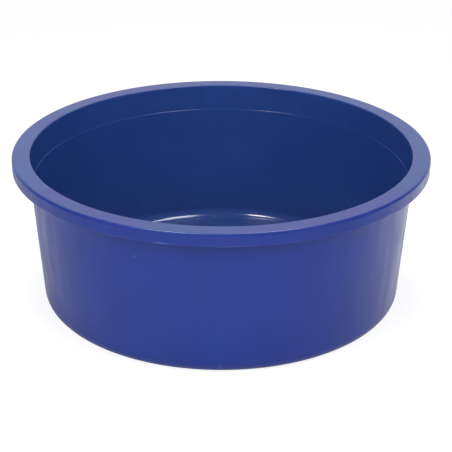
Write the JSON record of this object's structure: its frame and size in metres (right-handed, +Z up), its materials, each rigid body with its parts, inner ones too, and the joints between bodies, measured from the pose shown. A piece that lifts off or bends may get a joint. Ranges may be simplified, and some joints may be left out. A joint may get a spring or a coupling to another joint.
{
  "type": "calf feed bowl",
  "caption": "Round plastic feed bowl for calves: tapered wall with a slight shoulder below the mouth, flat rim with a hollow down-turned skirt, standing ring underneath.",
  "frame": {"origin": "centre of the standing ring under the floor, in the plane of the ground", "axes": "+Z up along the bowl's axis of revolution; +X runs through one of the webs under the rim, and is otherwise arbitrary"},
  "size_m": [0.32, 0.32, 0.12],
  "materials": {
    "blue_plastic": "satin dark blue polyolefin, coloured through, a little glossier inside than outside"
  },
  "bodies": {
    "root": {"feeder_bowl": "blue_plastic"}
  },
  "joints": []
}
